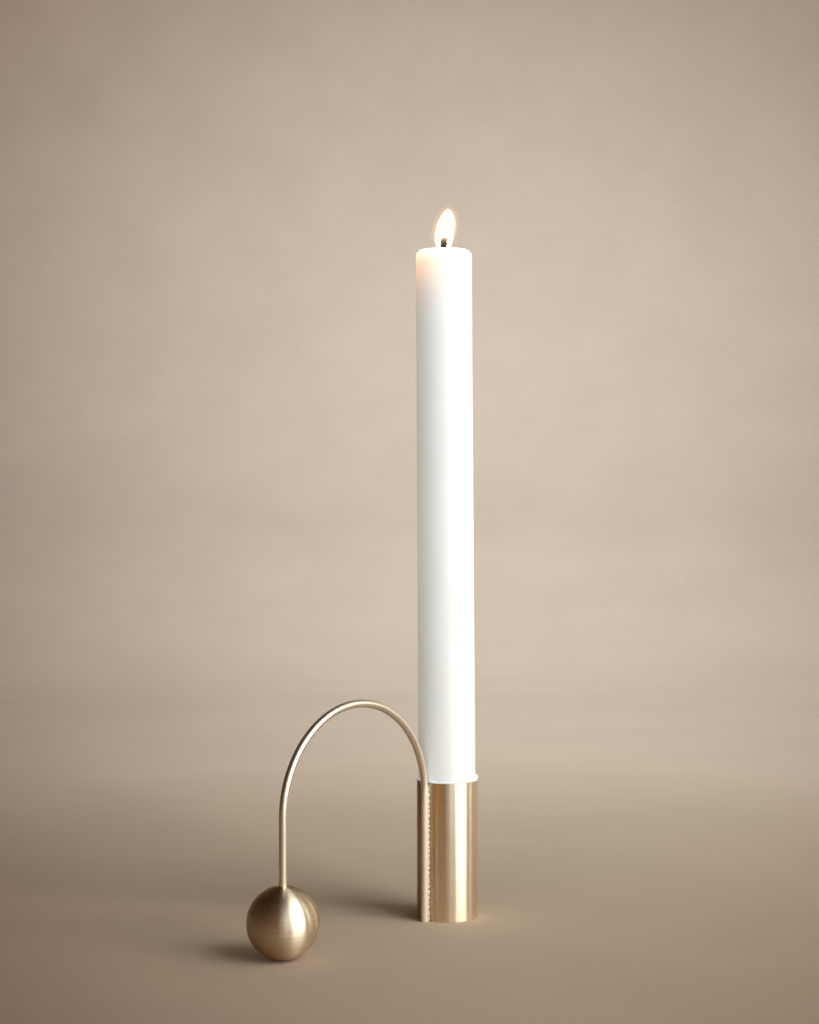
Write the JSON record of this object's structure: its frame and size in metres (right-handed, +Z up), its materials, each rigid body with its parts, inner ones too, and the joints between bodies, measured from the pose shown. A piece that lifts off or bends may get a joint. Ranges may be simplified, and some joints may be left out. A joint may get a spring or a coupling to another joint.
{
  "type": "candlestick",
  "caption": "Brass tube candlestick balanced by an arched rod that ends in a solid ball, holding a lit dinner candle that lifts out.",
  "frame": {"origin": "centre of the cup's underside, on the surface that the candlestick stands on", "axes": "+Z up along the cup tube; the arch lies in the XZ plane and carries the ball on the -X side; +Y is the back"},
  "size_m": [0.1094, 0.025, 0.2549],
  "materials": {
    "brushed_brass": "satin",
    "drawn_brass": "satin",
    "turned_brass": "satin",
    "solder": "satin",
    "white_wax": "satin",
    "melted_wax": "gloss",
    "charred_wick": "matte",
    "flame": "matte"
  },
  "bodies": {
    "holder": {"cup_tube": "brushed_brass", "cup_floor": "brushed_brass", "floor_solder": "solder", "arch_rod": "drawn_brass", "solder_seam_front": "solder", "solder_seam_back": "solder", "ball_weight": "turned_brass"},
    "candle": {"candle_wax": "white_wax", "wick": "charred_wick", "melt_pool": "melted_wax", "wax_collar": "white_wax"}
  },
  "joints": [
    {"name": "candle_lift", "type": "slide", "parent": "holder", "child": "candle", "axis": [0, 0, 1], "range_m": [0, 0.09]}
  ]
}
